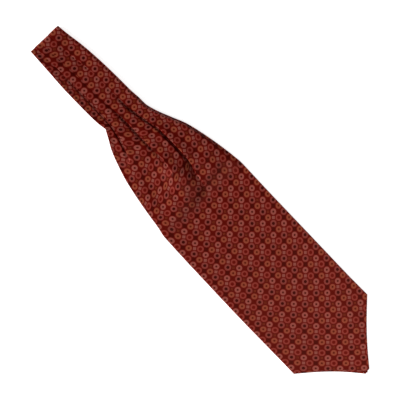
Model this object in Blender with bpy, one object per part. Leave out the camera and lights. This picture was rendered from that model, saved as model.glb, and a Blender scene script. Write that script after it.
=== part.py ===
"""Silk day cravat, folded in half at the middle of its neckband and laid flat.

The front blade lies on the back blade. Both open out of a neckband that is laid in three knife
pleats, all turned to the left edge. The cloth is cut on the bias, so each blade ends in a right
angle whose edges follow the thread.

Sizes are millimetres while a shape is worked out and metres in the scene. A place on the cravat
is (along, across, height): along runs from the folded end to the point, across is positive on the
right edge, and height starts at the surface that the cravat lies on.
"""

import math

import bmesh
import bpy

MM = 0.001

# Cloth and stack
PLY = 1.0  # wall of one ply
GAP = 0.3  # clearance between two pieces
SOFT_EDGE = 0.3  # rounding of a ply's outer edge

# Lengths from the folded end
BAND_END = 141.0  # end of the stitched neckband
CREASE = 296.0  # pressed crease where the loose pleats end
LENGTH = 605.6  # point of the back blade

# Heights of what lies under the front face
LOOSE_STACK = 3.0  # back blade under the pleats
FLAT_STACK = 2.2  # back blade where it is pressed flat
BACKING_STEP = PLY + GAP
BAND_STACK = LOOSE_STACK + BACKING_STEP  # lower run of the neckband

# Outline of the front, seen from above: along, right edge, left edge
BAND_OUTLINE = (
    (0.0, 19.4, -28.6),
    (15.0, 21.2, -29.2),
    (40.0, 25.2, -30.1),
    (70.0, 28.2, -31.1),
    (100.0, 29.8, -30.8),
    (125.0, 30.5, -30.0),
    (BAND_END, 31.9, -27.6),
)
BLADE_OUTLINE = (
    (BAND_END, 31.9, -27.6),
    (152.0, 32.2, -33.2),
    (167.0, 36.1, -40.8),
    (188.0, 44.8, -48.2),
    (209.0, 53.8, -54.2),
    (235.0, 60.6, -59.2),
    (261.0, 65.8, -63.2),
    (282.0, 69.0, -65.9),
    (CREASE, 70.4, -68.4),
    (345.0, 70.0, -69.4),
    (440.0, 70.1, -69.9),
    (490.0, 70.1, -69.3),
    (532.0, 70.9, -68.8),
)
RIGHT_CORNER = (532.0, 70.9)
LEFT_CORNER = (541.5, -68.6)
FRONT_POINT = (603.8, 4.6)
BACK_POINT = (LENGTH, 0.8)
POINT_WIDTH = 3.0  # a point is turned out blunt
RIGHT_HOLLOW = 2.6  # how far each slanting edge curves in
LEFT_HOLLOW = 4.2
UNDER_SHIFT = -0.5  # the back blade lies a little to the left of the front one
BACKING_INSET = 0.4  # the backing's edge stands back from the front's

# A knife pleat, by its stage along the cravat: along, place of its fold edge, depth of its lap,
# and turn, which is 180 degrees for a closed pleat and 0 where it has opened flat.
RIGHT_PLEAT = (
    (0.0, 2.5, 9.0, 180.0),
    (40.0, 5.6, 10.0, 180.0),
    (79.0, 11.4, 10.5, 180.0),
    (131.0, 12.8, 10.5, 180.0),
    (159.0, 17.0, 10.0, 180.0),
    (176.0, 20.6, 11.0, 180.0),
    (191.0, 23.0, 12.0, 180.0),
    (212.0, 23.3, 11.0, 180.0),
    (238.0, 23.0, 8.0, 180.0),
    (253.0, 21.0, 3.0, 165.0),
    (265.0, 18.5, 0.5, 85.0),
    (278.0, 17.0, 0.5, 28.0),
    (CREASE, 17.0, 0.5, 0.0),
)
MIDDLE_PLEAT = (
    (0.0, -12.2, 9.0, 180.0),
    (53.0, -7.6, 9.0, 180.0),
    (107.0, -4.4, 9.5, 180.0),
    (143.0, -1.9, 9.0, 180.0),
    (164.0, -1.4, 8.0, 180.0),
    (191.0, -1.4, 6.0, 180.0),
    (212.0, -1.0, 3.0, 170.0),
    (226.0, -1.6, 0.8, 110.0),
    (238.0, -3.0, 0.5, 40.0),
    (252.0, -5.0, 0.5, 0.0),
    (CREASE, -8.0, 0.5, 0.0),
)
LEFT_PLEAT = (
    (0.0, -21.4, 3.0, 180.0),
    (40.0, -20.0, 6.0, 180.0),
    (91.0, -18.6, 7.5, 180.0),
    (143.0, -18.2, 7.0, 180.0),
    (157.0, -20.6, 5.0, 180.0),
    (167.0, -23.4, 3.0, 175.0),
    (177.0, -27.0, 0.8, 120.0),
    (187.0, -30.5, 0.5, 50.0),
    (199.0, -34.0, 0.5, 0.0),
    (CREASE, -40.0, 0.5, 0.0),
)
PLEATS = (RIGHT_PLEAT, MIDDLE_PLEAT, LEFT_PLEAT)

# A bend of a closed pleat, on the middle of its wall
BEND_RADIUS = (PLY + GAP) / 2
BEND_STEPS = 4
LEAST_TURN = 0.001  # turn of a pleat that has opened flat, in radians
OPEN_BEND = 9.0  # length of cloth that a bend takes once it has opened flat
OPEN_LAP = 4.0  # length between the two bends of an opened pleat
OPENING = 14  # how late a pleat gives its cloth back as it opens

# The loose cloth stands up in one swell, which ends in a steep front at the crease
SWELL_HEIGHT = 3.6
SWELL_RISE = 70.0  # length over which the swell grows out of the neckband
SWELL_FALL = 16.0  # length of its front

# Where the front's foot lies: across, and how far before the crease
FRONT_LINE = (
    (-70.0, -2.0),
    (-45.0, -5.0),
    (-10.0, -5.0),
    (8.0, 0.0),
    (20.0, 6.0),
    (50.0, 8.0),
    (70.0, 4.0),
)

# Soft mounds and hollows on the swell: along, across, half length, half width, height
MOUNDS = (
    (256.0, 0.0, 32.0, 13.0, 5.6),
    (262.0, 19.0, 28.0, 8.0, -2.6),
    (254.0, 48.0, 38.0, 12.0, 2.2),
)

# Long ridges and troughs on the swell: along and across of both ends, half width, height
RIDGES = (
    (146.0, 20.0, 262.0, 29.0, 9.0, 2.0),
    (205.0, -38.0, 296.0, -50.0, 8.0, -1.2),
)
RIDGE_FADE = 0.35  # share of a ridge over which each end fades
BACKING_SHARE = 0.82  # share of a mound that the backing takes
BACK_SHARE = 0.66  # and the back blade under it
EDGE_HOLD = 2.5  # width along each edge that stays down
EDGE_FALL = 6  # how sharply the swell rounds down to the edges

# Sections along the cravat
BAND_SECTIONS = (4.6, 15.0, 30.0, 52.0, 78.0, 105.0, 125.0, 134.0, BAND_END - GAP / 2)
BLADE_SECTIONS = (
    (BAND_END + GAP / 2, 146.0, 152.0, 159.0, 167.0, 175.0, 183.0, 191.0, 200.0, 209.0)
    + (218.0, 227.0, 235.0, 243.0, 251.0, 259.0, 267.0, 274.0, 280.0, 286.0, 291.0)
    + (CREASE, 302.0, 320.0, 380.0, 440.0, 490.0, 532.0, 541.5, 557.0, 573.0, 589.0)
)
RISE_PARTS = (0.0, 0.25, 0.5, 0.75, 1.0)  # where a panel's points lie as it rises to the next fold
LAST_PARTS = (0.0, 0.17, 0.34, 0.5, 0.66, 0.83, 1.0)  # and on the last panel, which stays low
ACROSS_STEPS = 22  # steps across a plain ply

# The neckband turns round at the folded end
TURN_DEPTH = 4.3
TURN_WALL = 3.0
TURN_STATIONS = 30
TURN_OUTER_STEPS = 8
TURN_INNER_STEPS = 4
TURN_END = 5.0  # length over which the turn thins out at its two ends
TURN_THIN = 0.6  # depth that is left at those ends

BAND_PLIES = 4  # plies that show in the edge of the lower run
SHARP_ANGLE = 50.0

# Finish
FACE_RED = (0.142, 0.019, 0.014)
UNDER_RED = (0.105, 0.012, 0.009)
SILK_ROUGHNESS = 0.45


def smooth(value):
    """0 up to 0, 1 from 1 on, and soft at both ends."""
    value = min(max(value, 0.0), 1.0)
    return value * value * (3.0 - 2.0 * value)


def read(table, column, along):
    """A column of a table at any place along the cravat, on a smooth curve with no overshoot."""
    if along <= table[0][0]:
        return table[0][column]
    if along >= table[-1][0]:
        return table[-1][column]
    slopes = [
        (after[column] - before[column]) / (after[0] - before[0])
        for before, after in zip(table, table[1:])
    ]
    tangents = [slopes[0]]
    for left, right in zip(slopes, slopes[1:]):
        tangents.append(0.0 if left * right <= 0.0 else 2.0 * left * right / (left + right))
    tangents.append(slopes[-1])
    row = max(index for index in range(len(slopes)) if table[index][0] <= along)
    span = table[row + 1][0] - table[row][0]
    part = (along - table[row][0]) / span
    rise = 3 * part**2 - 2 * part**3
    return (
        (1 - rise) * table[row][column]
        + rise * table[row + 1][column]
        + (part - 2 * part**2 + part**3) * span * tangents[row]
        + (part**3 - part**2) * span * tangents[row + 1]
    )


def blend(table, place):
    """Second column of a table at any place in its first, in straight steps."""
    for (before, low), (after, high) in zip(table, table[1:]):
        if place <= after:
            return low + (high - low) * max(place - before, 0.0) / (after - before)
    return table[-1][1]


def edges(along, point):
    """Right and left edge of a blade that ends at the given point."""
    right = read(BLADE_OUTLINE, 1, along)
    left = read(BLADE_OUTLINE, 2, along)
    half = POINT_WIDTH / 2
    if along > RIGHT_CORNER[0]:
        part = (along - RIGHT_CORNER[0]) / (point[0] - RIGHT_CORNER[0])
        right = RIGHT_CORNER[1] + part * (point[1] + half - RIGHT_CORNER[1])
        right -= RIGHT_HOLLOW * math.sin(math.pi * part)
    if along > LEFT_CORNER[0]:
        part = (along - LEFT_CORNER[0]) / (point[0] - LEFT_CORNER[0])
        left = LEFT_CORNER[1] + part * (point[1] - half - LEFT_CORNER[1])
        left += LEFT_HOLLOW * math.sin(math.pi * part)
    return right, left


def stack(along):
    """Height of the back blade where the swell doesn't raise it."""
    loose = 1.0 - smooth((along - (CREASE - SWELL_FALL)) / SWELL_FALL)
    return FLAT_STACK + (LOOSE_STACK - FLAT_STACK) * loose


def ridge(along, across, start, start_across, end, end_across, half_width, height):
    """Height that one long ridge adds at a place."""
    length = math.hypot(end - start, end_across - start_across)
    run = ((end - start) / length, (end_across - start_across) / length)
    part = ((along - start) * run[0] + (across - start_across) * run[1]) / length
    off = (across - start_across) * run[0] - (along - start) * run[1]
    fade = smooth(part / RIDGE_FADE) * smooth((1.0 - part) / RIDGE_FADE)
    return height * fade * math.exp(-((off / half_width) ** 2))


def lift(along, across):
    """How far the loose cloth stands above its stack, which is nothing at its edges."""
    if along < BAND_END:
        return 0.0
    right, left = edges(along, FRONT_POINT)
    side = (across - (right + left) / 2) / max((right - left) / 2 - EDGE_HOLD, EDGE_HOLD)
    hold = 1.0 - min(abs(side), 1.0) ** EDGE_FALL
    foot = CREASE - blend(FRONT_LINE, across)
    swell = smooth((along - BAND_END) / SWELL_RISE) * smooth((foot - along) / SWELL_FALL)
    height = SWELL_HEIGHT
    for place, middle, half_length, half_width, top in MOUNDS:
        reach = ((along - place) / half_length) ** 2 + ((across - middle) / half_width) ** 2
        height += top * math.exp(-reach)
    for row in RIDGES:
        height += ridge(along, across, *row)
    return hold * swell * height


def pleated_line(along, right, left, low):
    """Middle of the pleated wall in one section, from its right edge to its left one."""
    line = [(right - PLY / 2, low)]
    foot = right - PLY
    for table in PLEATS:
        turn = math.radians(read(table, 3, along))
        opened = (1.0 - turn / math.pi) ** OPENING
        lap = read(table, 2, along) + OPEN_LAP * opened
        bend = BEND_RADIUS * math.pi * (1.0 - opened) + OPEN_BEND * opened
        turn = max(turn, LEAST_TURN)
        radius = bend / turn
        fold = read(table, 1, along)
        high = low + 2 * radius * (1 - math.cos(turn)) + lap * math.sin(turn)
        across = fold + PLY / 2 + radius * math.sin(min(turn, math.pi / 2))
        cover = math.sin(turn / 2) ** 2 * (lap + radius + PLY / 2)
        shelf = across + cover + GAP + 0.5 * PLY
        for part in RISE_PARTS:
            line.append((foot + (shelf - foot) * part, low + (high - low) * smooth(part)))
        height, heading = high, math.pi
        line.append((across, height))
        chord = 2 * radius * math.sin(turn / BEND_STEPS / 2)
        for sign in (1, -1):
            for step in range(BEND_STEPS):
                middle = heading + sign * turn / BEND_STEPS / 2
                across += chord * math.cos(middle)
                height += chord * math.sin(middle)
                heading += sign * turn / BEND_STEPS
                line.append((across, height))
            if sign > 0:
                across += lap * math.cos(heading)
                height += lap * math.sin(heading)
                line.append((across, height))
        foot = min(across, fold) - GAP
    for part in LAST_PARTS:
        line.append((foot + (left + PLY / 2 - foot) * part, low))
    return line


LINE_POINTS = 1 + len(PLEATS) * (len(RISE_PARTS) + 2 * BEND_STEPS + 2) + len(LAST_PARTS)


def plain_line(right, left, low, points):
    """Middle of a flat wall in one section."""
    first, last = right - PLY / 2, left + PLY / 2
    return [(first + (last - first) * index / (points - 1), low) for index in range(points)]


def wall_ring(line):
    """Outer points, left edge, inner points backwards and right edge of a wall."""
    outer, inner = [], []
    for index, here in enumerate(line):
        ends = [line[max(index - 1, 0)], here, line[min(index + 1, len(line) - 1)]]
        headings = [
            math.atan2(last[1] - first[1], last[0] - first[0])
            for first, last in zip(ends, ends[1:])
            if first != last
        ]
        half_turn = math.remainder(headings[-1] - headings[0], 2 * math.pi) / 2
        heading = headings[0] + half_turn
        reach = PLY / 2 / math.cos(half_turn)
        side = (-math.sin(heading) * reach, math.cos(heading) * reach)
        outer.append((here[0] - side[0], here[1] - side[1]))
        inner.append((here[0] + side[0], here[1] + side[1]))
    right_edge = (line[0][0] + PLY / 2, line[0][1])
    left_edge = (line[-1][0] - PLY / 2, line[-1][1])
    return outer + [left_edge] + inner[::-1] + [right_edge]


def wall_cap(row):
    """Faces that close a wall's end."""
    side = len(row) // 2 - 1
    outer, inner = row[:side], row[side + 1:-1][::-1]
    faces = [
        (outer[index], outer[index + 1], inner[index + 1], inner[index])
        for index in range(side - 1)
    ]
    return faces + [(outer[-1], row[side], inner[-1]), (inner[0], row[-1], outer[0])]


def layered_ring(right, left, ceilings, rise):
    """Section of a solid of several plies, parted by grooves in its edges, under a raised top."""
    first, last = right - SOFT_EDGE, left + SOFT_EDGE
    ring = []
    for step in range(ACROSS_STEPS + 1):
        across = first + (last - first) * step / ACROSS_STEPS
        ring.append((across, ceilings[-1] + rise(across)))
    for side, outward in ((left, -1), (right, 1)):
        edge = [(side - outward * SOFT_EDGE, 0.0)]
        floor = 0.0
        for ceiling in ceilings:
            edge.append((side, floor + SOFT_EDGE))
            edge.append((side, ceiling - SOFT_EDGE))
            edge.append((side - outward * PLY, ceiling))
            floor = ceiling
        edge.pop()
        ring += edge if outward > 0 else edge[::-1]
    return ring


def whole_cap(row):
    """One face over a solid's end."""
    return [tuple(row)]


def loft(name, sections, cap, colour):
    """A closed solid through rings of points that are given as along, across and height."""
    mesh = bmesh.new()
    rows = []
    for section in sections:
        rows.append([
            mesh.verts.new(((along - LENGTH / 2) * MM, across * MM, height * MM))
            for along, across, height in section
        ])
    count = len(rows[0])
    for row, following in zip(rows, rows[1:]):
        for index in range(count):
            after = (index + 1) % count
            mesh.faces.new((row[index], row[after], following[after], following[index]))
    for row in (rows[0], rows[-1]):
        for face in cap(row):
            mesh.faces.new(face)
    bmesh.ops.recalc_face_normals(mesh, faces=mesh.faces)
    data = bpy.data.meshes.new(name)
    mesh.to_mesh(data)
    mesh.free()
    data.shade_smooth()
    data.set_sharp_from_angle(angle=math.radians(SHARP_ANGLE))
    data.materials.append(silk(name, colour))
    model = bpy.data.objects.new(name, data)
    bpy.context.scene.collection.objects.link(model)
    return model


def silk(name, colour):
    """The plain material of one piece."""
    material = bpy.data.materials.new(name + "_silk")
    material.use_nodes = True
    shader = material.node_tree.nodes["Principled BSDF"]
    shader.inputs["Base Color"].default_value = (*colour, 1.0)
    shader.inputs["Roughness"].default_value = SILK_ROUGHNESS
    shader.inputs["Metallic"].default_value = 0.0
    return material


def at(along, ring, share=1.0):
    """A flat ring set at its place along the cravat, raised with its share of the loose cloth."""
    return [(along, across, height + share * lift(along, across)) for across, height in ring]


def front_blade_face():
    """Printed top panel of the front blade, with the pleats that open out of the neckband."""
    sections = []
    for along in BLADE_SECTIONS + (FRONT_POINT[0],):
        right, left = edges(along, FRONT_POINT)
        low = stack(along) + BACKING_STEP + GAP + PLY / 2
        if along < CREASE:
            line = pleated_line(along, right, left, low)
        else:
            line = plain_line(right, left, low, LINE_POINTS)
        sections.append(at(along, wall_ring(line)))
    return loft("front_blade_face", sections, wall_cap, FACE_RED)


def front_blade_backing():
    """Lower ply of the front blade, turned in along its edges."""
    sections = []
    for along in BLADE_SECTIONS + (FRONT_POINT[0] - BACKING_INSET,):
        right, left = edges(along, FRONT_POINT)
        low = stack(along) + GAP + PLY / 2
        line = plain_line(right - BACKING_INSET, left + BACKING_INSET, low, ACROSS_STEPS + 1)
        sections.append(at(along, wall_ring(line), BACKING_SHARE))
    return loft("front_blade_backing", sections, wall_cap, UNDER_RED)


def back_blade():
    """Both plies of the back blade as one rounded solid, which fills the loose cloth above."""
    sections = []
    for along in BLADE_SECTIONS + (BACK_POINT[0],):
        right, left = edges(along, BACK_POINT)
        top = stack(along)
        ring = layered_ring(
            right + UNDER_SHIFT,
            left + UNDER_SHIFT,
            (top / 2, top),
            lambda across, along=along: BACK_SHARE * lift(along, across),
        )
        sections.append([(along, across, height) for across, height in ring])
    return loft("back_blade", sections, whole_cap, UNDER_RED)


def neckband_upper_run():
    """Pleated upper half of the neckband, from the turn to the front blade."""
    sections = []
    for along in BAND_SECTIONS:
        right, left = read(BAND_OUTLINE, 1, along), read(BAND_OUTLINE, 2, along)
        line = pleated_line(along, right, left, BAND_STACK + GAP + PLY / 2)
        sections.append(at(along, wall_ring(line)))
    return loft("neckband_upper_run", sections, wall_cap, FACE_RED)


def neckband_lower_run():
    """Pleated lower half of the neckband as one rounded solid, with its plies at the edges."""
    ceilings = tuple(BAND_STACK * ply / BAND_PLIES for ply in range(1, BAND_PLIES + 1))
    sections = []
    for along in BAND_SECTIONS:
        right = read(BAND_OUTLINE, 1, along) - BACKING_INSET
        left = read(BAND_OUTLINE, 2, along) + BACKING_INSET
        ring = layered_ring(right, left, ceilings, lambda across: 0.0)
        sections.append(at(along, ring))
    return loft("neckband_lower_run", sections, whole_cap, UNDER_RED)


def top_at(ring, across):
    """Highest point of a section over one place."""
    heights = []
    for first, last in zip(ring, ring[1:] + ring[:1]):
        if min(first[0], last[0]) <= across <= max(first[0], last[0]) and first[0] != last[0]:
            part = (across - first[0]) / (last[0] - first[0])
            heights.append(first[1] + part * (last[1] - first[1]))
    return max(heights)


def neckband_turn():
    """Wall of cloth that turns round from the upper run to the lower one at the folded end."""
    start = BAND_SECTIONS[0]
    right, left = read(BAND_OUTLINE, 1, start), read(BAND_OUTLINE, 2, start)
    ring = wall_ring(pleated_line(start, right, left, BAND_STACK + GAP + PLY / 2))
    sections = []
    for station in range(TURN_STATIONS + 1):
        part = station / TURN_STATIONS
        across = right + (left - right) * smooth_ends(part)
        inside = min(max(across, left + PLY), right - PLY)
        top = top_at(ring, inside)
        near = min(right - across, across - left) / TURN_END
        depth = TURN_DEPTH * (TURN_THIN + (1 - TURN_THIN) * math.sqrt(min(near, 1.0)))
        middle = top / 2
        section = []
        for step in range(TURN_OUTER_STEPS + 1):
            angle = math.pi * (0.5 + step / TURN_OUTER_STEPS)
            section.append((
                TURN_DEPTH + depth * math.cos(angle),
                across,
                middle + middle * math.sin(angle),
            ))
        for step in range(TURN_INNER_STEPS + 1):
            angle = math.pi * (1.5 - step / TURN_INNER_STEPS)
            bore = middle - TURN_WALL * TURN_THIN
            section.append((
                TURN_DEPTH + bore * math.cos(angle) * depth / TURN_DEPTH,
                across,
                middle + bore * math.sin(angle),
            ))
        sections.append(section)
    return loft("neckband_turn", sections, whole_cap, FACE_RED)


def smooth_ends(part):
    """Stations set closer together near both ends."""
    return 0.5 - 0.5 * math.cos(math.pi * part)


def main():
    for item in list(bpy.data.objects):
        bpy.data.objects.remove(item)
    front_blade_face()
    front_blade_backing()
    back_blade()
    neckband_upper_run()
    neckband_lower_run()
    neckband_turn()


main()
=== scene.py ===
# %% [markdown]
# This lesson dresses a silk day cravat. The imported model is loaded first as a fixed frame: its
# walls say where each stretch of cloth lies. Cloth could be draped by simulation, but pleats that
# were stitched and pressed are quicker and truer when the flat cloth is folded by rule, so each
# sheet here starts as a flat grid and is folded to its place.

# %% Load the frame
import math

import bpy
import numpy as np
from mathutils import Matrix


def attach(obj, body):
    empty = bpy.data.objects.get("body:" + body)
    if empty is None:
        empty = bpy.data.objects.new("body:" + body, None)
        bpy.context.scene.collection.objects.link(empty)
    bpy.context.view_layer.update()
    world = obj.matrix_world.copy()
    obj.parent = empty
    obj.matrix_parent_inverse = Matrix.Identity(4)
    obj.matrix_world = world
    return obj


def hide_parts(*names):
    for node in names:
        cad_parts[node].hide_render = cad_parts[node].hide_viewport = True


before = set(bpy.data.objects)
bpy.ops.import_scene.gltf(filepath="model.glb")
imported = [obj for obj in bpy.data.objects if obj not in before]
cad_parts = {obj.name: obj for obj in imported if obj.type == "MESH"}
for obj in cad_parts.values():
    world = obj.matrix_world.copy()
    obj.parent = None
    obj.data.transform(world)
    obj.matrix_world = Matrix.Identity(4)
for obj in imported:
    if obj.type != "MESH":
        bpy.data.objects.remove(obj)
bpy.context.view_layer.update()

MM = 0.001

# %% [markdown]
# Sizes are kept in millimetres, the way a maker reads a tape, and turned to metres only when
# vertices are written. A place on the cravat is (along, across, height): along runs from the fold
# of the neckband to the points, across is positive towards the right edge.

# %% The cravat's own measures
LENGTH = 605.6  # fold of the neckband to the point of the back blade
BAND_END = 141.0  # end of the stitched neckband
CREASE = 296.0  # pressed crease where the loose pleats end
MIDDLE = LENGTH / 2  # the frame's origin, measured along


def place(along, across, height):
    """Millimetres on the cravat to metres in the frame."""
    return np.stack([(along - MIDDLE) * MM, across * MM, height * MM], axis=-1)


# %% [markdown]
# The camera comes first. The photo looks straight down at the cravat, which runs from the top
# left to the bottom right, so the camera hangs over the cravat and is rolled about its own axis.
# A long lens keeps the outline free of perspective.

# %% Camera
PHOTO_PIXELS = 400
MM_PER_PIXEL = 1.3048
CAMERA_ROLL = 46.5  # the cravat's angle in the picture, in degrees
CAMERA_HEIGHT = 2.6  # metres
VIEW_CENTRE = (292.7, -2.2)  # along and across, under the middle of the picture
SENSOR = 36.0

eye = bpy.data.cameras.new("photo_eye")
eye.sensor_width = SENSOR
eye.lens = SENSOR * CAMERA_HEIGHT / (PHOTO_PIXELS * MM_PER_PIXEL * MM)
camera = bpy.data.objects.new("photo_camera", eye)
bpy.context.scene.collection.objects.link(camera)
camera.location = ((VIEW_CENTRE[0] - MIDDLE) * MM, VIEW_CENTRE[1] * MM, CAMERA_HEIGHT)
camera.rotation_euler = (0.0, 0.0, math.radians(CAMERA_ROLL))
bpy.context.scene.camera = camera
print("lens", round(eye.lens, 1), "mm")

# %% [markdown]
# The cravat lies on a plain pale floor. The floor glows a little, so that hardly any shadow shows
# beside the cravat, as in the photo. It is no piece of the cravat.

# %% Floor
FLOOR_SIZE = 6.0
FLOOR_DROP = 0.0002  # metres that the floor lies below the cloth
FLOOR_GREY = 0.9
FLOOR_ROUGHNESS = 0.9
FLOOR_SPECULAR = 0.1
FLOOR_GLOW = 0.75


def deselect():
    """An operator acts on all that is selected, and the frame's nodes start selected."""
    bpy.ops.object.select_all(action="DESELECT")


def lit_table(name):
    """White acrylic that is lit from below a little, as for a picture with no shadow."""
    material = bpy.data.materials.new(name)
    material.use_nodes = True
    shader = material.node_tree.nodes["Principled BSDF"]
    shader.inputs["Base Color"].default_value = (FLOOR_GREY, FLOOR_GREY, FLOOR_GREY, 1.0)
    shader.inputs["Roughness"].default_value = FLOOR_ROUGHNESS
    shader.inputs["Specular IOR Level"].default_value = FLOOR_SPECULAR
    shader.inputs["Emission Color"].default_value = (1.0, 1.0, 1.0, 1.0)
    shader.inputs["Emission Strength"].default_value = FLOOR_GLOW
    return material


deselect()
bpy.ops.mesh.primitive_plane_add(size=FLOOR_SIZE, location=(0.0, 0.0, -FLOOR_DROP))
floor = bpy.context.object
floor.name = "studio_floor"
bpy.ops.object.transform_apply(location=True)
floor.data.materials.append(lit_table("lit_white_acrylic"))
print("floor", round(FLOOR_SIZE, 1), "m wide, glow", FLOOR_GLOW)

# %% [markdown]
# One broad, far light from the left of the picture shows up the pleats, because their folds run
# across its direction. A weak panel brightens the point, and the sky fills the shadows.

# %% Lights and sky
KEY_STRENGTH = 3.85
KEY_SOFTNESS = 14.0  # degrees that the light spans
KEY_ELEVATION = 29.0  # degrees above the table
KEY_TURN = 180.0  # degrees from the picture's right: the light comes from its left
PANEL_ENERGY = 2.7
PANEL_SIZE = 0.7
PANEL_PLACE = (0.48, 0.0, 0.85)  # over the point, which the photo shows a little brighter
SKY_STRENGTH = 0.12

light = bpy.data.lights.new("soft_window", "SUN")
light.energy = KEY_STRENGTH
light.angle = math.radians(KEY_SOFTNESS)
lamp = bpy.data.objects.new("soft_window", light)
bpy.context.scene.collection.objects.link(lamp)
towards = math.radians(CAMERA_ROLL + KEY_TURN)
lamp.rotation_euler = (math.radians(90.0 - KEY_ELEVATION), 0.0, towards + math.pi / 2)

panel = bpy.data.lights.new("overhead_panel", "AREA")
panel.energy = PANEL_ENERGY
panel.size = PANEL_SIZE
overhead = bpy.data.objects.new("overhead_panel", panel)
bpy.context.scene.collection.objects.link(overhead)
overhead.location = PANEL_PLACE

world = bpy.data.worlds.new("soft_sky")
world.use_nodes = True
world.node_tree.nodes["Background"].inputs["Color"].default_value = (1.0, 1.0, 1.0, 1.0)
world.node_tree.nodes["Background"].inputs["Strength"].default_value = SKY_STRENGTH
bpy.context.scene.world = world
bpy.context.scene.view_settings.view_transform = "Standard"
print("key light turned to", round(math.degrees(towards)), "degrees")

# %% [markdown]
# The outline is the cravat's pattern as it lies: a narrow neckband that flares into a blade with
# parallel edges and a right-angled point. Only the stations that shape it are listed, and a
# smooth curve that never overshoots joins them.

# %% Outline
BAND_OUTLINE = (
    # along, right edge, left edge
    (0.0, 19.4, -28.6),
    (15.0, 21.2, -29.2),
    (40.0, 25.2, -30.1),
    (70.0, 28.2, -31.1),
    (100.0, 29.8, -30.8),
    (125.0, 30.5, -30.0),
    (BAND_END, 31.9, -27.6),
)
BLADE_OUTLINE = (
    (BAND_END, 31.9, -27.6),
    (152.0, 32.2, -33.2),
    (167.0, 36.1, -40.8),
    (188.0, 44.8, -48.2),
    (209.0, 53.8, -54.2),
    (235.0, 60.6, -59.2),
    (261.0, 65.8, -63.2),
    (282.0, 69.0, -65.9),
    (CREASE, 70.4, -68.4),
    (345.0, 70.0, -69.4),
    (440.0, 70.1, -69.9),
    (490.0, 70.1, -69.3),
    (532.0, 70.9, -68.8),
)
RIGHT_CORNER = (532.0, 70.9)
LEFT_CORNER = (541.5, -68.6)
FRONT_POINT = (603.8, 4.6)
BACK_POINT = (LENGTH, 0.8)
POINT_WIDTH = 3.0
RIGHT_HOLLOW = 2.6  # how far the right slanting edge curves in
LEFT_HOLLOW = 4.2
RIGHT_OUTSET = 0.4  # how far the silk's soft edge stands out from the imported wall
LEFT_OUTSET = 0.5
print("outline of", len(BAND_OUTLINE) + len(BLADE_OUTLINE), "stations")

# %% [markdown]
# Two small helpers serve the whole lesson. One makes anything begin and end softly. The other
# reads a table of stations at any place, along a curve that passes through every row.

# %% Soft steps and the curve through a table


def smooth(value):
    """0 up to 0, 1 from 1 on, and soft at both ends."""
    value = np.clip(value, 0.0, 1.0)
    return value * value * (3.0 - 2.0 * value)


def read(table, column, along):
    """A column of a table at any place along the cravat, with no overshoot."""
    if along <= table[0][0]:
        return table[0][column]
    if along >= table[-1][0]:
        return table[-1][column]
    slopes = [
        (after[column] - before[column]) / (after[0] - before[0])
        for before, after in zip(table, table[1:])
    ]
    tangents = [slopes[0]]
    for left, right in zip(slopes, slopes[1:]):
        tangents.append(0.0 if left * right <= 0.0 else 2.0 * left * right / (left + right))
    tangents.append(slopes[-1])
    row = max(index for index in range(len(slopes)) if table[index][0] <= along)
    span = table[row + 1][0] - table[row][0]
    part = (along - table[row][0]) / span
    rise = 3 * part**2 - 2 * part**3
    return (
        (1 - rise) * table[row][column]
        + rise * table[row + 1][column]
        + (part - 2 * part**2 + part**3) * span * tangents[row]
        + (part**3 - part**2) * span * tangents[row + 1]
    )


print("right edge at the neckband's end", round(read(BLADE_OUTLINE, 1, BAND_END), 1), "mm")

# %% [markdown]
# With the curve at hand, the edges follow from the outline. Beyond each corner they slant to the
# point and are hollowed a little, as pressed points are.

# %% Edges


def edges(along, point):
    """Right and left edge at a station, for a blade that ends at the given point."""
    table = BAND_OUTLINE if along < BAND_END else BLADE_OUTLINE
    right, left = read(table, 1, along), read(table, 2, along)
    half = POINT_WIDTH / 2
    if along > RIGHT_CORNER[0]:
        part = (along - RIGHT_CORNER[0]) / (point[0] - RIGHT_CORNER[0])
        right = RIGHT_CORNER[1] + part * (point[1] + half - RIGHT_CORNER[1])
        right -= RIGHT_HOLLOW * math.sin(math.pi * part)
    if along > LEFT_CORNER[0]:
        part = (along - LEFT_CORNER[0]) / (point[0] - LEFT_CORNER[0])
        left = LEFT_CORNER[1] + part * (point[1] - half - LEFT_CORNER[1])
        left += LEFT_HOLLOW * math.sin(math.pi * part)
    return right + RIGHT_OUTSET, left - LEFT_OUTSET


CREASE_EDGES = edges(CREASE, FRONT_POINT)
print("blade width at the crease", round(CREASE_EDGES[0] - CREASE_EDGES[1], 1), "mm")

# %% [markdown]
# Three knife pleats take in the width at the neck, all turned to the left edge. Each is a flat
# Z of cloth: over, back under itself, and forward again. Its table says where the fold edge lies,
# how deep the cloth laps under it, and how far it is turned: 180 degrees where it is stitched
# shut, less where it opens, and 0 where the cloth is flat.

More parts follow.
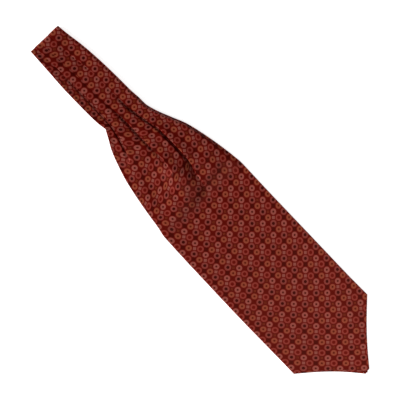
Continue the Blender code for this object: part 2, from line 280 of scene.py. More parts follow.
# %% Pleats
RIGHT_PLEAT = (
    # along, fold edge, lap, turn
    (0.0, 2.5, 9.0, 180.0),
    (40.0, 5.6, 10.0, 180.0),
    (79.0, 11.4, 10.5, 180.0),
    (131.0, 12.8, 10.5, 180.0),
    (159.0, 17.0, 10.0, 180.0),
    (176.0, 20.6, 11.0, 180.0),
    (191.0, 23.0, 12.0, 180.0),
    (212.0, 23.3, 11.0, 180.0),
    (238.0, 23.0, 8.0, 180.0),
    (253.0, 21.0, 3.0, 165.0),
    (265.0, 18.5, 0.5, 85.0),
    (278.0, 17.0, 0.5, 28.0),
    (CREASE, 17.0, 0.5, 0.0),
)
MIDDLE_PLEAT = (
    (0.0, -12.2, 9.0, 180.0),
    (53.0, -7.6, 9.0, 180.0),
    (107.0, -4.4, 9.5, 180.0),
    (143.0, -1.9, 9.0, 180.0),
    (164.0, -1.4, 8.0, 180.0),
    (191.0, -1.4, 6.0, 180.0),
    (212.0, -1.0, 3.0, 170.0),
    (226.0, -1.6, 0.8, 110.0),
    (238.0, -3.0, 0.5, 40.0),
    (252.0, -5.0, 0.5, 0.0),
    (CREASE, -8.0, 0.5, 0.0),
)
LEFT_PLEAT = (
    (0.0, -21.4, 3.0, 180.0),
    (40.0, -19.2, 6.0, 180.0),
    (91.0, -17.4, 7.5, 180.0),
    (143.0, -18.2, 7.0, 180.0),
    (157.0, -20.6, 5.0, 180.0),
    (167.0, -23.4, 3.0, 175.0),
    (177.0, -27.0, 0.8, 120.0),
    (187.0, -30.5, 0.5, 50.0),
    (199.0, -34.0, 0.5, 0.0),
    (CREASE, -40.0, 0.5, 0.0),
)
PLEATS = (RIGHT_PLEAT, MIDDLE_PLEAT, LEFT_PLEAT)
FOLD_FORMS = (
    # for each pleat: along, share of its full bends that it keeps, how deep the cloth dips
    # beside it
    (
        (0.0, 0.3, 0.1), (35.0, 0.45, 0.5), (60.0, 0.55, 1.0), (85.0, 0.4, 0.2),
        (118.0, 0.5, 0.6), (138.0, 0.9, 2.0), (165.0, 1.0, 3.0), (228.0, 1.0, 3.2),
        (244.0, 0.7, 2.6), (258.0, 0.35, 1.4), (274.0, 0.3, 0.0),
    ),
    (
        (0.0, 0.12, 0.0), (98.0, 0.15, 0.0), (110.0, 0.25, 0.5), (135.0, 0.6, 0.8),
        (145.0, 0.9, 1.8), (178.0, 1.0, 2.4), (205.0, 0.6, 2.0), (222.0, 0.35, 1.2),
        (240.0, 0.3, 0.0),
    ),
    (
        (0.0, 0.25, 0.1), (45.0, 0.2, 0.8), (70.0, 0.2, 2.2), (110.0, 0.3, 2.6),
        (135.0, 0.7, 2.2), (150.0, 1.0, 2.6), (164.0, 0.8, 2.8), (178.0, 0.4, 2.2),
        (194.0, 0.3, 0.0),
    ),
)
LEAST_TURN = 0.001  # radians, for cloth that has opened flat
OPEN_BEND = 9.0  # cloth that a bend takes once it is flat
OPEN_LAP = 4.0  # length that the lap gains as it opens
OPENING = 14  # how late a pleat gives its cloth back as it opens
print("laps at the neck", [row[2] for row in (table[0] for table in PLEATS)], "mm")

# %% [markdown]
# Between the neckband and the pressed crease the cloth stands up in one soft swell, higher in
# some places than in others, and drops steeply at the crease. Long troughs and ridges are placed
# where the photo shows them. Whatever lies below takes a share of the same swell, so no
# ply cuts another.

# %% The swell of the loose cloth
SWELL_HEIGHT = 3.6
SWELL_RISE = 70.0  # length over which the swell grows out of the neckband
SWELL_FALL = 16.0  # length of its steep front at the crease
FRONT_LINE = (
    # across, how far before the crease the front's foot lies
    (-70.0, -2.0),
    (-45.0, -5.0),
    (-10.0, -5.0),
    (8.0, 0.0),
    (20.0, 6.0),
    (50.0, 8.0),
    (70.0, 4.0),
)
MOUNDS = (
    # along, across, half length, half width, height
    (255.0, 2.0, 30.0, 13.0, 5.8),
    (254.0, -11.5, 28.0, 9.0, 2.6),
    (262.0, 19.0, 28.0, 8.0, -1.2),
    (252.0, 54.0, 38.0, 10.0, 0.1),
    (273.0, 38.0, 15.0, 12.0, 1.3),
    (273.0, -33.0, 15.0, 10.0, 1.1),
    (286.0, 3.0, 12.0, 13.0, -1.4),
)
LOOSE_CREASES = (
    # from along, across, to along, across, half width, height
    (146.0, 20.0, 262.0, 29.0, 9.0, 2.0),
    (205.0, -36.0, 292.0, -44.0, 9.0, -2.0),
    (150.0, 3.0, 235.0, 8.0, 5.0, 0.8),
    (150.0, -14.0, 225.0, -22.0, 6.0, 0.8),
    (240.0, -24.0, 292.0, -31.0, 5.0, 0.7),
    (228.0, 36.0, 284.0, 40.0, 4.5, -0.7),
    (186.0, -33.0, 250.0, -52.0, 4.0, 0.6),
    (196.0, 37.0, 262.0, 55.0, 4.0, 0.5),
    (163.0, -16.0, 203.0, -20.0, 2.0, -1.4),
    (240.0, 24.0, 272.0, 12.0, 3.0, -0.7),
    (250.0, -12.0, 288.0, -14.0, 8.0, 1.6),
    (206.0, -4.0, 262.0, -6.0, 9.0, 1.4),
    (166.0, 27.0, 262.0, 42.0, 8.0, -1.6),
)
PRESSED_CREASES = (
    # the same, on the neckband and the flat blade
    (14.0, 5.0, 84.0, 9.0, 18.0, -1.6),
    (488.0, -14.0, 548.0, -22.0, 8.0, -0.5),
    (538.0, 5.0, 590.0, -3.0, 9.0, 0.5),
    (478.0, 40.0, 586.0, 28.0, 20.0, 1.0),
    (318.0, -38.0, 452.0, -30.0, 17.0, 0.35),
    (352.0, 34.0, 478.0, 44.0, 15.0, -0.3),
    (306.0, 20.0, 372.0, 4.0, 12.0, 0.3),
)
print(len(MOUNDS), "mounds", len(LOOSE_CREASES) + len(PRESSED_CREASES), "soft creases")

# %% [markdown]
# All of these add up to one height at each place. It falls to nothing at the edges, and the very
# point curls off the table a little.

# %% Height of the loose cloth
CREASE_FADE = 0.35  # share of a crease over which each end fades
EDGE_HOLD = 2.5  # width along each edge that stays down
EDGE_FALL = 4  # how sharply the swell rounds down to the edges
TIP_CURL = 2.8  # how far the point lifts off the table
TIP_START = 535.0  # along, where it begins to lift


def ridge(along, across, crease):
    """Height that one soft crease adds at a place."""
    from_along, from_across, to_along, to_across, width, height = crease
    run = (to_along - from_along, to_across - from_across)
    length = math.hypot(*run)
    part = ((along - from_along) * run[0] + (across - from_across) * run[1]) / length**2
    off = (across - from_across) * run[0] / length - (along - from_along) * run[1] / length
    fade = smooth(part / CREASE_FADE) * smooth((1.0 - part) / CREASE_FADE)
    return height * fade * np.exp(-((off / width) ** 2))


def lift(along, across):
    """How far the loose cloth stands above its stack at the places across one station."""
    right, left = edges(along, FRONT_POINT)
    half = max((right - left) / 2 - EDGE_HOLD, EDGE_HOLD)
    side = np.abs(across - (right + left) / 2) / half
    hold = 1.0 - np.minimum(side, 1.0) ** EDGE_FALL
    foot = CREASE - np.interp(across, *zip(*FRONT_LINE))
    swell = smooth((along - BAND_END) / SWELL_RISE) * smooth((foot - along) / SWELL_FALL)
    height = SWELL_HEIGHT
    for middle, off, half_length, half_width, top in MOUNDS:
        reach = ((along - middle) / half_length) ** 2 + ((across - off) / half_width) ** 2
        height = height + top * np.exp(-reach)
    for crease in LOOSE_CREASES:
        height = height + ridge(along, across, crease)
    pressed_and_painted_shade = sum(ridge(along, across, crease) for crease in PRESSED_CREASES)
    tip = TIP_CURL * smooth((along - TIP_START) / (LENGTH - TIP_START)) ** 2
    return hold * (swell * height + pressed_and_painted_shade) + tip


print("swell at its crest", round(float(lift(MOUNDS[0][0], MOUNDS[0][1])), 1), "mm")

# %% [markdown]
# Each blade is a flat tube: the silk runs over the face, round both edges and a little way under,
# as a hem. One section across it is a line that a pen could draw without lifting: hem, edge,
# panel, pleat, panel, pleat, panel, pleat, panel, edge, hem. The same line serves the underside,
# where the pleats are pressed flatter by the surface that the cravat lies on.

# %% Parts of a section
SILK = 0.4  # thickness drawn for a ply of silk
HEM = 8.0
PANEL_RISE = 4.6  # width over which a panel rises quickly beside the fold that lies on it
PANEL_SLOPE = 0.65  # share of its rise that it takes slowly, over its whole width
EDGE_RISE = 4.0  # width over which the first panel stands up beside the right edge
EDGE_LEAN = 0.5  # an edge is pressed narrower than it is deep
END_CLOSENESS = 0.7  # how much closer a panel's points lie at its ends
HEM_STEPS = 3
EDGE_STEPS = 6
PANEL_STEPS = 18
SHELF_STEPS = 4
BEND_STEPS = 6
LAP_STEPS = 2
LAST_STEPS = 24


def arc(centre, radius, first, last, steps, lean=1.0):
    """Points of a bend between two angles, both ends included; lean narrows it."""
    angle = np.linspace(first, last, steps + 1)
    return np.stack(
        [centre[0] + lean * radius * np.cos(angle), centre[1] + radius * np.sin(angle)], 1
    )


def straight(first, last, steps):
    """Points from one place to another, without the last one."""
    return np.linspace(first, last, steps + 1)[:-1]


def closer_ends(steps):
    """Shares of a panel's width that lie closer together near both of its ends."""
    share = np.linspace(0.0, 1.0, steps + 1)[:-1]
    return share - END_CLOSENESS * np.sin(2 * math.pi * share) / (2 * math.pi)


def panel(foot, far, high, dip, steps, level=False):
    """Points of the cloth between two folds: it dips beside the first and rises on to the next.

    A level panel stands up beside the edge at once and then keeps its height.
    """
    width, slope = (EDGE_RISE, 0.0) if level else (PANEL_RISE, PANEL_SLOPE)
    part = closer_ends(steps)
    quick = smooth(part * max((foot - far) / width, 1.0))
    height = high * (slope * part + (1.0 - slope) * quick) - dip * (1.0 - quick)
    return np.stack([foot + (far - foot) * part, height], 1)


def fold_back(start, high, bends, lap, turn):
    """Points of the cloth from the top of a pleat, round both of its bends, to the next panel."""
    down = arc((start, high - bends[0]), bends[0], math.pi / 2, math.pi / 2 + turn, BEND_STEPS)
    heading = math.pi + turn
    lapped = down[-1] + lap * np.array([math.cos(heading), math.sin(heading)])
    inside = lapped + bends[1] * np.array([-math.sin(turn), math.cos(turn)])
    forward = arc(inside, bends[1], turn - math.pi / 2, -math.pi / 2, BEND_STEPS)
    return np.concatenate([down[:-1], straight(down[-1], lapped, LAP_STEPS), forward])


print("a half turn of silk has", len(arc((0.0, 0.0), SILK, 0.0, math.pi, BEND_STEPS)), "points")

# %% [markdown]
# The section joins these parts. Where a pleat opens, its lap and its two bends turn step by step
# into flat cloth, so every section has the same number of points and the next one can follow it.

# %% One section across the silk


def section(along, right, left, radii, depth, loose=1.0):
    """Across and height of the silk's middle from the right hem to the left one, and its peak.

    Height is measured outward from the flat face, and the peak is that of the highest pleat. The
    radii are those of the two bends of a closed pleat, and depth is how far the hem lies behind
    the face. Loose is 1 where the cloth may dip beside a fold, and 0 where it lies on the table.
    """
    edge = min(depth / 2, (right - left) / 4)
    hem = min(HEM, (right - left) / 2 - edge - SILK / 2)
    foot = right - SILK / 2 - edge * EDGE_LEAN
    heel = left + SILK / 2 + edge * EDGE_LEAN
    spread, centre = 1.0, 0.0
    if along > CREASE:  # cloth without pleats, whose columns spread over what width there is
        spread = (right - left) / (CREASE_EDGES[0] - CREASE_EDGES[1])
        centre = (right + left - spread * sum(CREASE_EDGES)) / 2
    parts = [
        straight((foot - hem, -depth), (foot, -depth), HEM_STEPS),
        arc((foot, -edge), edge, -math.pi / 2, math.pi / 2, EDGE_STEPS, EDGE_LEAN)[:-1],
    ]
    peak = 0.0
    dip = 0.0
    for table, form in zip(PLEATS, FOLD_FORMS):
        turn = math.radians(read(table, 3, along))
        opened = (1.0 - turn / math.pi) ** OPENING
        lap = (read(table, 2, along) + OPEN_LAP * opened) * spread
        turn = max(turn, LEAST_TURN)
        thick = read(form, 1, along)
        bends = [
            (radius * thick * math.pi * (1.0 - opened) + OPEN_BEND * opened * spread) / turn
            for radius in radii
        ]
        high = sum(bends) * (1.0 - math.cos(turn)) + lap * math.sin(turn)
        peak = max(peak, high)
        fold = centre + spread * read(table, 1, along)
        start = fold + SILK / 2 + bends[0] * math.sin(min(turn, math.pi / 2))
        cover = math.sin(turn / 2) ** 2 * (lap + bends[1] + SILK)
        shelf = start + cover
        parts += [
            panel(foot, shelf, high, dip, PANEL_STEPS, level=table is RIGHT_PLEAT),
            straight((shelf, high), (start, high), SHELF_STEPS),
            fold_back(start, high, bends, lap, turn),
        ]
        foot = min(parts[-1][-1][0], fold) - SILK / 2
        dip = read(form, 2, along) * loose
    parts += [
        panel(foot, heel, 0.0, dip, LAST_STEPS),
        arc((heel, -edge), edge, math.pi / 2, 3 * math.pi / 2, EDGE_STEPS, EDGE_LEAN)[:-1],
        np.linspace((heel, -depth), (heel + hem, -depth), HEM_STEPS + 1),
    ]
    line = np.concatenate(parts)
    return line[:, 0], line[:, 1], peak


print("a section has", len(section(CREASE, *CREASE_EDGES, (1.0, 1.0), 1.0)[0]), "points")

# %% [markdown]
# The print has to run with the cloth, so every point also keeps its place on the flat cut: how
# far it lies along the cut and across it. Across, that is the length of the section's line from
# the edge. Along, it is the length of the path over the swell, counted back from the flat blade,
# where the cut and the table agree. These two numbers become the piece's UV map, in metres.

# %% Places on the cut
EDGE_ROLLED = 6.0  # width that has rolled under at the right edge of the neckband
ROLLED_FROM = 160.0  # along, where it begins to come out again
FAN_MIDDLE = 4.0  # across, where the grain runs straight
FAN_STEP = 12.0
GRAIN_BOW = 0.0009  # how the cross grain bows over the whole width
GRAIN_BEND = 0.00053  # how the long grain bends towards the right edge near the point
BEND_FROM = 450.0  # along, where that begins


def cut_across(rows, edge_cuts):
    """Place of each point across the cut, from the length of each section's line."""
    steps = np.linalg.norm(np.diff(rows[:, :, 1:], axis=1), axis=2)
    run = np.concatenate([np.zeros((len(rows), 1)), np.cumsum(steps, axis=1)], axis=1)
    edge = HEM_STEPS + EDGE_STEPS // 2
    return np.array(edge_cuts)[:, None] + run[:, edge:edge + 1] - run


def edge_cut(along, right):
    """Place on the cut of the right edge."""
    if along > CREASE:
        return right - GRAIN_BEND * max(along - BEND_FROM, 0.0) ** 2
    flat = smooth((along - ROLLED_FROM) / (CREASE - ROLLED_FROM))
    return CREASE_EDGES[0] - EDGE_ROLLED * (1.0 - float(flat))


def fan(along, across):
    """How far the cross grain runs ahead of a station, as the cloth fans out of the neckband."""
    ahead = GRAIN_BOW * (across - FAN_MIDDLE) ** 2
    for side in (1, 2):
        edge = read(BLADE_OUTLINE, side, along)
        slope = (read(BLADE_OUTLINE, side, along + FAN_STEP)
                 - read(BLADE_OUTLINE, side, along - FAN_STEP)) / (2 * FAN_STEP)
        off = np.maximum((across - FAN_MIDDLE) * np.sign(edge), 0.0)
        ahead += abs(slope) * off**2 / (2 * abs(edge - FAN_MIDDLE))
    return ahead * smooth((along - BAND_END + FAN_STEP) / FAN_STEP)


def cut_along(rows, alongs, share):
    """Place of each point along the cut, counted from the crease over the swell."""
    places = np.zeros(rows.shape[:2])
    for index in range(len(alongs) - 1):
        here, there = alongs[index], alongs[index + 1]
        climb = share * (lift(there, rows[index, :, 1]) - lift(here, rows[index, :, 1]))
        places[index + 1] = places[index] + np.hypot(there - here, climb)
    anchor = int(np.argmin(np.abs(np.array(alongs) - CREASE)))
    places += alongs[anchor] - places[anchor]
    return places + np.stack([fan(along, row[:, 1]) for along, row in zip(alongs, rows)])


def cut_places(rows, alongs, point, share):
    """Places along and across the cut of all points of a blade's silk."""
    starts = [edge_cut(along, edges(along, point)[0]) for along in alongs]
    return cut_along(rows, alongs, share), cut_across(rows, starts)


print("the grain bows", round(float(fan(CREASE, CREASE_EDGES[0])), 1), "mm at the right edge")

# %% [markdown]
# A thin line of painted shade lies beside each edge, where the face rolls over the hem. It is
# kept as a darkness for each point, which the silk's shader reads.

# %% Lines of painted shade beside the edges
EDGE_SHADE_LINES = (
    # side (1 is right), distance in from the edge, half width, darkness, where it begins to fade
    (1, 2.2, 0.8, 0.42, 250.0),
    (-1, 4.4, 1.0, 0.45, 140.0),
)
EDGE_SHADE_FADE = 60.0  # length over which a line fades out


def painted_edge_shade(rows):
    """How dark each point lies in the lines of painted shade beside the two edges."""
    across = rows[..., 1]
    marks = np.zeros(across.shape)
    for side, distance, width, strength, end in EDGE_SHADE_LINES:
        near = (side * across).max(axis=1, keepdims=True) - side * across
        fade = 1.0 - smooth((rows[..., 0] - end) / EDGE_SHADE_FADE)
        # each line is painted shade that darkens the silk's colour beside an edge
        line = strength * fade * np.exp(-(((near - distance) / width) ** 2))
        marks = np.maximum(marks, line)
    return marks


print("pressed lines", len(EDGE_SHADE_LINES))

# %% [markdown]
# A sheet is a grid of rows. Its faces, its map of the cut and its painted shade are set in one
# go, and then it gets the thickness of one ply. The area of its cut is measured on the map.

# %% From rows of points to a sheet
SHELL_SMOOTH = 35.0  # degrees


def cut_area(corners):
    """Area of the flat cut, from the places of the grid's points on it."""
    side = corners[:-1, 1:] - corners[1:, :-1]
    down = corners[1:, 1:] - corners[:-1, :-1]
    return float(np.abs(side[..., 0] * down[..., 1] - side[..., 1] * down[..., 0]).sum() / 2)


def sheet_mesh(name, rows, cuts, material, pressed_and_painted_shade=None):
    """One piece of cloth from rows of points and their places on the cut."""
    count, across = rows.shape[:2]
    index = np.arange(count * across).reshape(count, across)
    faces = np.stack(
        [index[:-1, :-1], index[1:, :-1], index[1:, 1:], index[:-1, 1:]], axis=-1
    ).reshape(-1, 4)
    points = place(rows[..., 0], rows[..., 1], rows[..., 2]).reshape(-1, 3)
    mesh = bpy.data.meshes.new(name)
    mesh.from_pydata(points.tolist(), [], faces.tolist())
    corners = np.stack(cuts, axis=-1) * MM
    flat = mesh.uv_layers.new(name="cut")
    flat.data.foreach_set("uv", corners.reshape(-1, 2)[faces.reshape(-1)].reshape(-1))
    # the darkness of the painted shade beside the edges, which the silk's shader reads
    if pressed_and_painted_shade is None:
        pressed_and_painted_shade = np.zeros((count, across))
    shade = mesh.attributes.new("pressed_and_painted_shade", "FLOAT", "POINT")
    shade.data.foreach_set("value", pressed_and_painted_shade.ravel())
    mesh.materials.append(material)
    piece = bpy.data.objects.new(name, mesh)
    bpy.context.scene.collection.objects.link(piece)
    deselect()
    piece.select_set(True)
    bpy.context.view_layer.objects.active = piece
    solid = piece.modifiers.new("ply", "SOLIDIFY")
    solid.thickness = SILK * MM
    solid.offset = 0.0
    solid.use_even_offset = False
    bpy.ops.object.modifier_apply(modifier=solid.name)
    bpy.ops.object.shade_smooth_by_angle(angle=math.radians(SHELL_SMOOTH))
    piece["cut_area"] = cut_area(corners)
    print(name, len(mesh.polygons), "faces, cut", round(piece["cut_area"], 4), "m2")
    return piece


# %% [markdown]
# The print is a small repeat of rings and squares, and it is charted here from its real
# distances. Rings stand on a square lattice, squares stand between them, and each kind comes
# back after two steps. Every motif is a colour ramp over the distance from its middle.

# %% Colours and distances of the print
PRINT_ORIGIN = (454.1, 54.7)  # middle of one pink ring, along and across
STEP_ALONG = (10.271, -0.190)  # from ring to ring, along and across
STEP_ACROSS = (0.078, -10.309)
RAMP_REACH = 6.0  # mm at the end of a motif's ramp
MOTIF_SOFT = 0.3  # mm to each side over which one colour turns into the next
GROUND = "600C06"
RING_EDGE = 4.8  # mm from its middle to where a ring's part of the ground ends
RINGS = (
    # kind, then the colour from each distance on, in mm
    ("pink", ((0.0, "4A120B"), (1.4, "8E473E"), (3.8, GROUND))),
    ("red", ((0.0, "600A04"), (2.2, "84322A"), (4.2, GROUND))),
    ("orange", ((0.0, "551605"), (1.4, "883E2B"), (3.8, GROUND))),
    ("rose", ((0.0, "360201"), (2.0, "7E3730"), (4.2, GROUND))),
)
SQUARES = (
    # kind, half its width in mm, its own colour
    ("light", 1.9, "86463D"),
    ("dotted", 2.6, "520C05"),
    ("plain", 2.6, "560601"),
    ("dark", 2.6, "430401"),
)
DOTTED = 1  # the kind of square, counted from 0, that carries the dots
DOT_COLOUR = "7C2F19"
DOT_PLACE = 1.1  # from the square's middle
DOT_FADE = (0.77, 0.33)  # mm from a dot's middle where it begins and where it is full
PITCH = math.hypot(*STEP_ALONG)
print(len(RINGS), "rings and", len(SQUARES), "squares in a repeat of", round(2 * PITCH, 1), "mm")

# %% [markdown]
# Colours are written the way painters' software shows them and turned into the shader's linear
# numbers in one place. Another helper adds a node and joins it up, so that a shader can be read
# from top to bottom.

# %% Colours and nodes


def linear(colour):
    """A colour as painters' software writes it, in the numbers that a shader works with."""
    channels = [int(colour[at:at + 2], 16) / 255 for at in (0, 2, 4)]
    return tuple(
        c / 12.92 if c <= 0.04045 else ((c + 0.055) / 1.055) ** 2.4 for c in channels
    ) + (1.0,)


def node(tree, kind, inputs=None, output=0, **settings):
    """Adds a node with its settings and inputs, and returns one of its outputs."""
    made = tree.nodes.new(kind)
    for name, value in settings.items():
        setattr(made, name, value)
    for socket, value in (inputs or {}).items():
        if isinstance(value, bpy.types.NodeSocket):
            tree.links.new(value, made.inputs[socket])
        else:
            made.inputs[socket].default_value = value
    return made.outputs[output]


print("ground in linear numbers", [round(channel, 4) for channel in linear(GROUND)[:3]])

# %% [markdown]
# Four kinds of motif take turns. So each place on the cut is asked how far it is from the middle
# of its cell, and whether that cell is an odd one along and across.

# %% Ramps and cells


def ramp(tree, distance, stops):
    """A colour that changes softly at each distance from a motif's middle."""
    colours = node(tree, "ShaderNodeValToRGB", {"Fac": distance})
    table = colours.node.color_ramp
    table.interpolation = "EASE"
    marks = []
    for (_, before), (start, after) in zip(stops, stops[1:]):
        marks += [(start - MOTIF_SOFT, before), (start + MOTIF_SOFT, after)]
    table.elements[0].color = linear(stops[0][1])
    table.elements[1].color = linear(stops[-1][1])
    for start, colour in marks:
        table.elements.new(start / RAMP_REACH).color = linear(colour)
    return colours


def choose(tree, odd, colours):
    """One of four colours, by whether the cell is odd along and odd across."""
    along, across = (
        node(tree, "ShaderNodeSeparateXYZ", {"Vector": odd}, output=axis) for axis in (0, 1)
    )
    rows = [
        node(tree, "ShaderNodeMixRGB", {"Fac": along, "Color1": first, "Color2": second})
        for first, second in (colours[:2], colours[2:])
    ]
    return node(tree, "ShaderNodeMixRGB", {"Fac": across, "Color1": rows[0], "Color2": rows[1]})


def offset_and_odd(tree, places):
    """Distance from the middle of the nearest cell, in steps, and whether the cell is odd."""
    offset = node(
        tree, "ShaderNodeVectorMath", {0: places, 1: (0.5,) * 3, 2: (-0.5,) * 3}, operation="WRAP"
    )
    cell = node(tree, "ShaderNodeVectorMath", {0: places, 1: offset}, operation="SUBTRACT")
    odd = node(
        tree, "ShaderNodeVectorMath", {0: cell, 1: (1.5,) * 3, 2: (-0.5,) * 3}, operation="WRAP"
    )
    return offset, odd


def dot_product(tree, vector, other):
    """One number: the dot product of a vector with a fixed one."""
    return node(tree, "ShaderNodeVectorMath", {0: vector, 1: other}, output="Value",
                operation="DOT_PRODUCT")


print("motifs soften over", 2 * MOTIF_SOFT, "mm")

# %% [markdown]
# Rings measure a round distance from their middle. Squares stand on their corner in the ring
# lattice, so theirs is the sum of the distances along and across. One kind of square carries four
# small dots.

# %% Rings and squares


def ring_colours(tree, places):
    """Colours of the rings, and how far each place is from the nearest ring's middle."""
    offset, odd = offset_and_odd(tree, places)
    reach = node(tree, "ShaderNodeVectorMath", {0: offset}, output="Value", operation="LENGTH")
    far = node(tree, "ShaderNodeMath", {0: reach, 1: PITCH / RAMP_REACH}, operation="MULTIPLY")
    return choose(tree, odd, [ramp(tree, far, stops) for _, stops in RINGS]), far


def dots(tree, size):
    """1 inside four soft dots and 0 around them; they stand on the square's diagonals."""
    away = [
        node(tree, "ShaderNodeVectorMath", {0: size, 1: middle}, output="Value",
             operation="DISTANCE")
        for middle in ((DOT_PLACE / PITCH, 0.0, 0.0), (0.0, DOT_PLACE / PITCH, 0.0))
    ]
    nearest = node(tree, "ShaderNodeMath", {0: away[0], 1: away[1]}, operation="MINIMUM")
    return node(tree, "ShaderNodeMapRange", {
        "Value": nearest, "From Min": DOT_FADE[0] / PITCH, "From Max": DOT_FADE[1] / PITCH,
    })


def square_colours(tree, places):
    """Colours of the squares and of the ground between the rings."""
    between = node(
        tree, "ShaderNodeVectorMath", {0: places, 1: (0.5, 0.5, 0.0)}, operation="SUBTRACT"
    )
    offset, odd = offset_and_odd(tree, between)
    size = node(tree, "ShaderNodeVectorMath", {0: offset}, operation="ABSOLUTE")
    side = dot_product(tree, size, (1.0, 1.0, 0.0))
    far = node(tree, "ShaderNodeMath", {0: side, 1: PITCH / math.sqrt(2) / RAMP_REACH},
               operation="MULTIPLY")
    plain = [ramp(tree, far, ((0.0, colour), (half, GROUND))) for _, half, colour in SQUARES]
    plain[DOTTED] = node(tree, "ShaderNodeMixRGB", {
        "Fac": dots(tree, size), "Color1": plain[DOTTED], "Color2": linear(DOT_COLOUR)
    })
    return choose(tree, odd, plain)


print("kinds", [row[0] for row in RINGS + SQUARES])

# %% [markdown]
# The silk itself is a close twill with a soft, low sheen. The rings and squares are worked out
# from the cut's own map, so they bend, squeeze and disappear under the pleats as cloth does. The
# twill is far finer than a picture of the whole cravat can show, so it is drawn coarser, as a low
# bump.

# %% Printed silk twill
SILK_ROUGHNESS = 0.38
SILK_SPECULAR = 0.2
SHEEN_TINT = "FF9480"
TWILL_PITCH = 0.9  # mm; real twill has about five lines to the millimetre
TWILL_DEPTH = 0.015
TWILL_STRENGTH = 0.3
WAVE_RATE = 20.0  # radians that a wave texture of scale 1 runs through in one unit
# painted shade: a turned-under ply is drawn this much darker than the face
INNER_SHADE = 0.8  # brightness of a turned-under ply


def twill_bump(tree, cut):
    """Fine lines across the cut, as a bump for the shader's normal."""
    twill = node(tree, "ShaderNodeTexWave", {
        "Vector": cut, "Scale": 2.0 * math.pi / WAVE_RATE / (TWILL_PITCH * MM), "Distortion": 0.0,
    }, output="Fac", bands_direction="X")
    return node(tree, "ShaderNodeBump", {
        "Height": twill, "Strength": TWILL_STRENGTH, "Distance": TWILL_DEPTH * MM,
    })


def printed_silk(name, brightness=1.0):
    """Silk twill with the printed repeat, darkened by painted shade in thin lines beside the
    edges, and all over by a brightness below 1.
    """
    material = bpy.data.materials.new(name)
    material.use_nodes = True
    tree = material.node_tree
    shader = tree.nodes["Principled BSDF"]
    shader.inputs["Roughness"].default_value = SILK_ROUGHNESS
    shader.inputs["Specular IOR Level"].default_value = SILK_SPECULAR
    shader.inputs["Specular Tint"].default_value = linear(SHEEN_TINT)
    cut = node(tree, "ShaderNodeUVMap", uv_map="cut")
    origin = tuple(c * MM for c in PRINT_ORIGIN) + (0.0,)
    here = node(tree, "ShaderNodeVectorMath", {0: cut, 1: origin}, operation="SUBTRACT")
    axes = np.linalg.inv(np.array([STEP_ALONG, STEP_ACROSS]).T * MM).tolist()
    counts = [dot_product(tree, here, (*axis, 0.0)) for axis in axes]
    places = node(tree, "ShaderNodeCombineXYZ", {"X": counts[0], "Y": counts[1]})
    rings, far = ring_colours(tree, places)
    in_ring = node(
        tree, "ShaderNodeMath", {0: far, 1: RING_EDGE / RAMP_REACH}, operation="LESS_THAN"
    )
    motifs = node(tree, "ShaderNodeMixRGB", {
        "Fac": in_ring, "Color1": square_colours(tree, places), "Color2": rings
    })
    # painted shade: the colour is darkened by the edge lines and by the brightness
    pressed_and_painted_shade = node(tree, "ShaderNodeAttribute", output="Fac", attribute_name="pressed_and_painted_shade")
    left = node(tree, "ShaderNodeMath", {0: brightness, 1: pressed_and_painted_shade}, operation="SUBTRACT")
    shaded = node(tree, "ShaderNodeMixRGB", {
        "Fac": 1.0, "Color1": motifs, "Color2": left
    }, blend_type="MULTIPLY")
    tree.links.new(shaded, shader.inputs["Base Color"])
    tree.links.new(twill_bump(tree, cut), shader.inputs["Normal"])
    print(name, len(tree.nodes), "nodes")
    return material


silk = printed_silk("printed_silk_twill")
# the backings' silk is the same print, darkened all over as painted shade
inner_silk = printed_silk("turned_under_silk_painted_shade", INNER_SHADE)

# %% [markdown]
# Sections stand close together where the cloth moves and far apart where it lies flat. Under each
# section lies a stack: the back blade and the hems, thicker under the loose pleats than under the
# pressed part.

# %% Stations and stack
TURN_DEPTH = 4.3  # length that the turn takes up at the folded end
STATION_RUNS = (
    # from, to, number of sections
    (TURN_DEPTH, BAND_END, 45),
    (BAND_END, CREASE, 77),
    (CREASE, RIGHT_CORNER[0], 59),
    (RIGHT_CORNER[0], LEFT_CORNER[0], 3),
)
STATIONS = np.concatenate([straight(*run) for run in STATION_RUNS])
TIP_STEPS = 24
FACE_OVER = 2.6  # face of a blade above the stack that it lies on
HEM_OVER = 0.3  # and its hem
LOOSE_STACK = 3.0  # thickness of the back blade, loose and pressed flat
FLAT_STACK = 2.2


def stations(point):
    """Places of the sections for a blade that ends at a point."""
    return np.concatenate([STATIONS, np.linspace(LEFT_CORNER[0], point[0], TIP_STEPS)]).tolist()


def stack(along):
    """Top of the back blade where the swell doesn't raise it."""
    flat = smooth((along - (CREASE - SWELL_FALL)) / SWELL_FALL)
    return LOOSE_STACK + (FLAT_STACK - LOOSE_STACK) * float(flat)


print(len(stations(FRONT_POINT)), "sections")

# %% [markdown]
# A row is a section that is set down at its station. On the top it is raised by the stack and the
# swell. On the underside it is turned over, pressed flat by the table, and its hem turns up.

# %% Rows of the top and of the underside
TOP_BENDS = (0.9, 0.4)  # radii of a pleat's two bends on the top
UNDER_BENDS = (0.3, 0.15)  # and on the underside
UNDER_SHARE = 0.66  # share of the swell that the back blade takes
SAG_START = 0.6  # share of the half width beyond which the cloth sags down to the table
SAG_LENGTH = 0.3
ANY_DEPTH = 1.0  # the peak of a section is the same whatever its depth


def front_row(along):
    """Points of the front's silk at one station."""
    right, left = edges(along, FRONT_POINT)
    face = stack(along) + FACE_OVER - SILK / 2
    depth = FACE_OVER - HEM_OVER - SILK
    across, height, _ = section(along, right, left, TOP_BENDS, depth)
    return np.stack([np.full_like(across, along), across, face + height + lift(along, across)], 1)


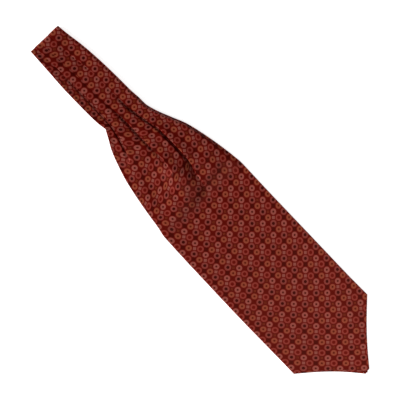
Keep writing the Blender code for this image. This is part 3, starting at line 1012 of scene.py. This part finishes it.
def under_row(along, shift=0.0):
    """Points of the underside's silk at one station, with its hem turned up."""
    right, left = edges(along, BACK_POINT)
    high = section(along, right, left, UNDER_BENDS, ANY_DEPTH, 0.0)[2]
    face = SILK / 2 + high
    depth = stack(along) - SILK / 2 - face
    across, height, _ = section(along, right, left, UNDER_BENDS, depth, 0.0)
    up = np.clip(-height / depth, 0.0, 1.0) * UNDER_SHARE * lift(along, across)
    side = np.abs(across - (right + left) / 2) / ((right - left) / 2)
    sag = high * (1.0 + height / depth) * smooth((side - SAG_START) / SAG_LENGTH)
    low = np.maximum(face - height - sag, SILK / 2)
    return np.stack([np.full_like(across, along), across + shift, low + up], 1)


print("a row has", len(front_row(CREASE)), "points")

# %% [markdown]
# The front is one sheet, as it was sewn: the blade's face, the pleated neckband and its turn at
# the folded end. At the turn every point swings over from its height on the top to its height
# below.

# %% The front, from the point to the turn at the folded end
TURN_STEPS = 10
TURN_PATH = 1.3  # cloth that goes round the turn, for each millimetre of the turn's height

alongs = stations(FRONT_POINT)
front = np.stack([front_row(along) for along in alongs])
along_cut, across_cut = cut_places(front, alongs, FRONT_POINT, 1.0)
below = under_row(TURN_DEPTH)
over = front[0]
thick = over[:, 2] - below[:, 2]
reach = (TURN_DEPTH - SILK / 2) * np.sqrt(np.clip(thick / thick.max(), 0.0, 1.0))
turned, turned_along = [], []
for angle in straight(math.pi, 0.0, TURN_STEPS):
    part = (1.0 + math.cos(angle)) / 2
    turned.append(np.stack([
        TURN_DEPTH - reach * math.sin(angle),
        below[:, 1] + (over[:, 1] - below[:, 1]) * part,
        below[:, 2] + (over[:, 2] - below[:, 2]) * part,
    ], 1))
    turned_along.append(along_cut[0] - angle / math.pi * TURN_PATH * thick.max())
front = np.concatenate([np.stack(turned), front])
across_cut = np.concatenate([np.repeat(across_cut[:1], TURN_STEPS, axis=0), across_cut])
along_cut = np.concatenate([np.stack(turned_along), along_cut])
# thin lines of painted shade darken the face beside its edges
front_silk = sheet_mesh(
    "front_silk", front, (along_cut, across_cut), silk, painted_edge_shade(front)
)

# %% [markdown]
# The back blade and the lower run of the neckband are the same cloth going on round the turn.
# They lie on the table, so their pleats are pressed nearly flat. The columns are laid in reverse,
# because the outer side of this sheet looks down.

# %% The underside
BACK_SHIFT = -0.5  # the back blade lies a little to the left
SHIFT_LENGTH = 40.0  # length over which it comes to lie there

back_alongs = stations(BACK_POINT)
ease = [float(smooth((along - BAND_END) / SHIFT_LENGTH)) for along in back_alongs]
back = np.stack([
    under_row(along, BACK_SHIFT * share) for along, share in zip(back_alongs, ease)
])
back_cuts = cut_places(back, back_alongs, BACK_POINT, 0.0)
back_silk = sheet_mesh("back_silk", back[:, ::-1], [c[:, ::-1] for c in back_cuts], silk)

# %% [markdown]
# Each blade is backed with the same silk, drawn darker as painted shade, whose edges are tucked
# into the hems. The backings take a smaller share of the swell than the face does, which leaves
# the air that holds the loose cloth up.

# %% Backings
BACKING_INSET = 4.0  # from an edge of the blade to the backing
BACKING_SHORT = 12.0  # and from the blade's point
BACKING_CLEAR = SILK * 1.8  # from a hem's outer side to the middle of the backing inside it
BACKING_STEPS = 40
FRONT_SHARE = 0.82  # share of the swell that the front blade's backing takes


def backing(name, point, base, share):
    """A flat ply whose edges are tucked into the hems of a blade."""
    rows, places = [], []
    for along in [a for a in stations(point) if a < point[0] - BACKING_SHORT]:
        right, left = edges(along, point)
        across = np.linspace(right - BACKING_INSET, left + BACKING_INSET, BACKING_STEPS + 1)
        height = base(along) + share * lift(along, across)
        rows.append(np.stack([np.full_like(across, along), across, height], 1))
        places.append((np.full_like(across, along), across))
    cuts = [np.stack([p[axis] for p in places]) for axis in (0, 1)]
    return sheet_mesh(name, np.stack(rows), cuts, inner_silk)


front_backing = backing(
    "front_backing", FRONT_POINT, lambda a: stack(a) + HEM_OVER + BACKING_CLEAR, FRONT_SHARE
)
back_backing = backing(
    "back_backing", BACK_POINT, lambda a: stack(a) - BACKING_CLEAR, UNDER_SHARE
)

# %% [markdown]
# Every piece rides on the one body and stands for the imported walls that it covers, which are
# hidden. Each sheet carries the area of its cut, as it would lie before it was folded.

# %% Attach and hide the walls
BODY = "root"
FOR_NODES = {
    front_silk: ("front_blade_face", "neckband_upper_run", "neckband_turn"),
    front_backing: ("front_blade_backing",),
    back_silk: ("neckband_lower_run",),
    back_backing: ("back_blade",),
}
for piece, names in FOR_NODES.items():
    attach(piece, BODY)
    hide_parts(*names)
